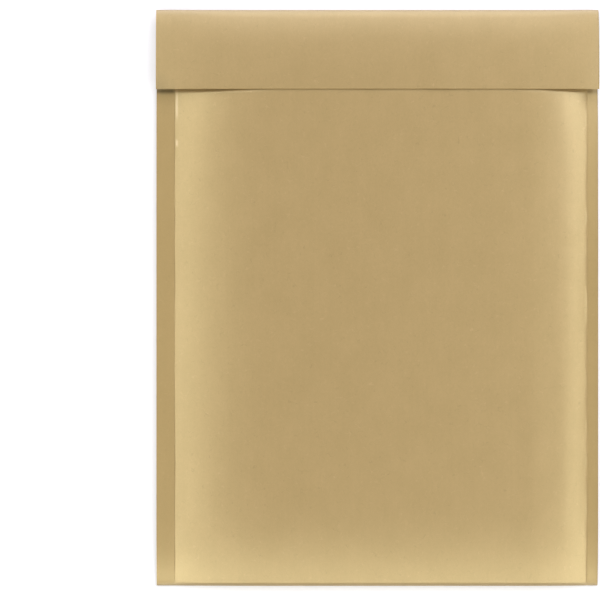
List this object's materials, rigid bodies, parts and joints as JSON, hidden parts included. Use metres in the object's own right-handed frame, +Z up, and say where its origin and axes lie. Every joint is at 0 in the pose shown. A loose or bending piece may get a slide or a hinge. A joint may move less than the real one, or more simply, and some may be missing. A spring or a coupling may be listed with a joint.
{
  "type": "padded envelope",
  "caption": "Shut padded kraft paper mailing envelope with a folded-over flap, flat sealed side seams and a folded bottom, lying on its back.",
  "frame": {"origin": "under the middle of the back panel, on the surface that the envelope lies on", "axes": "+Z up, out of the front panel and flap; +Y towards the top fold that the flap hangs from; +X across the width, to the right as the front is seen with the flap at the top"},
  "size_m": [0.216, 0.2816, 0.0084],
  "materials": {
    "kraft_paper": "natural brown kraft paper with a faint satin calendered sheen, unprinted"
  },
  "bodies": {
    "root": {"padded_envelope": "kraft_paper"}
  },
  "joints": []
}
